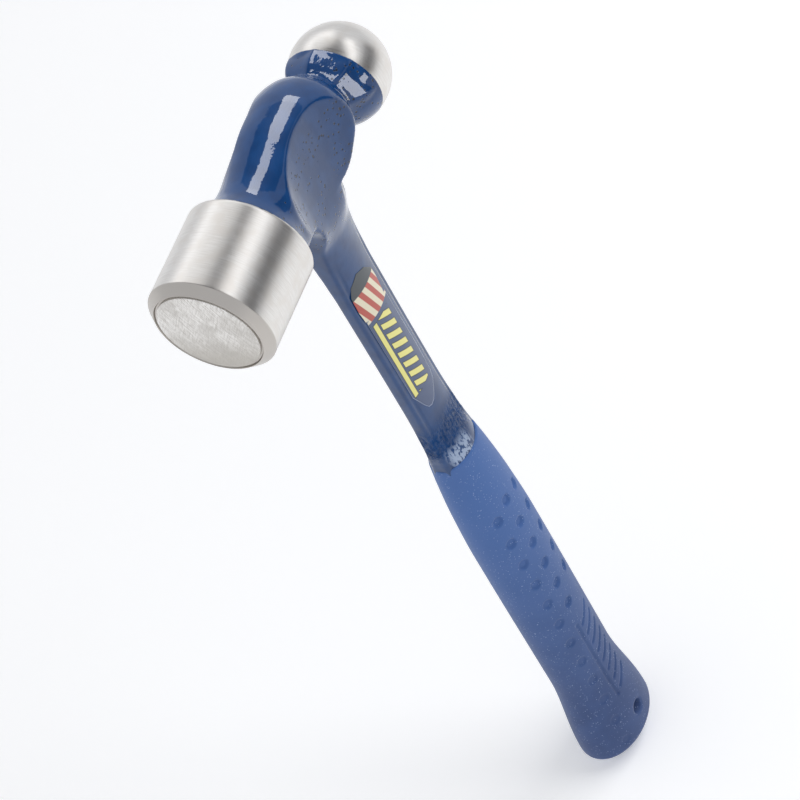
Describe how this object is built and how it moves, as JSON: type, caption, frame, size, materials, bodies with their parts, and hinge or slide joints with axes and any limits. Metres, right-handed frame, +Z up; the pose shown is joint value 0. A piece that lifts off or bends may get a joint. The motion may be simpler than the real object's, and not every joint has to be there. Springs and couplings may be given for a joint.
{
  "type": "ball peen hammer",
  "caption": "One-piece forged ball peen hammer: flat poll, ball peen, lacquered neck and shank, and a dimpled moulded grip with a hang hole.",
  "frame": {"origin": "under the centre of the bounding box, level with the lowest point of the butt", "axes": "+Z up the handle towards the head, poll and striking face towards -X, ball towards +X, label side towards -Y"},
  "size_m": [0.1266, 0.042, 0.3665],
  "materials": {
    "forged_steel": "turned and belt-ground poll, polished ball",
    "blue_lacquer": "deep gloss dipped lacquer over forged steel",
    "blue_vinyl": "matte moulded vinyl with a faint speckle",
    "printed_film": null
  },
  "bodies": {
    "root": {"forging": "forged_steel", "lacquer_coat": "blue_lacquer", "grip": "blue_vinyl", "label_film": "printed_film"}
  },
  "joints": []
}
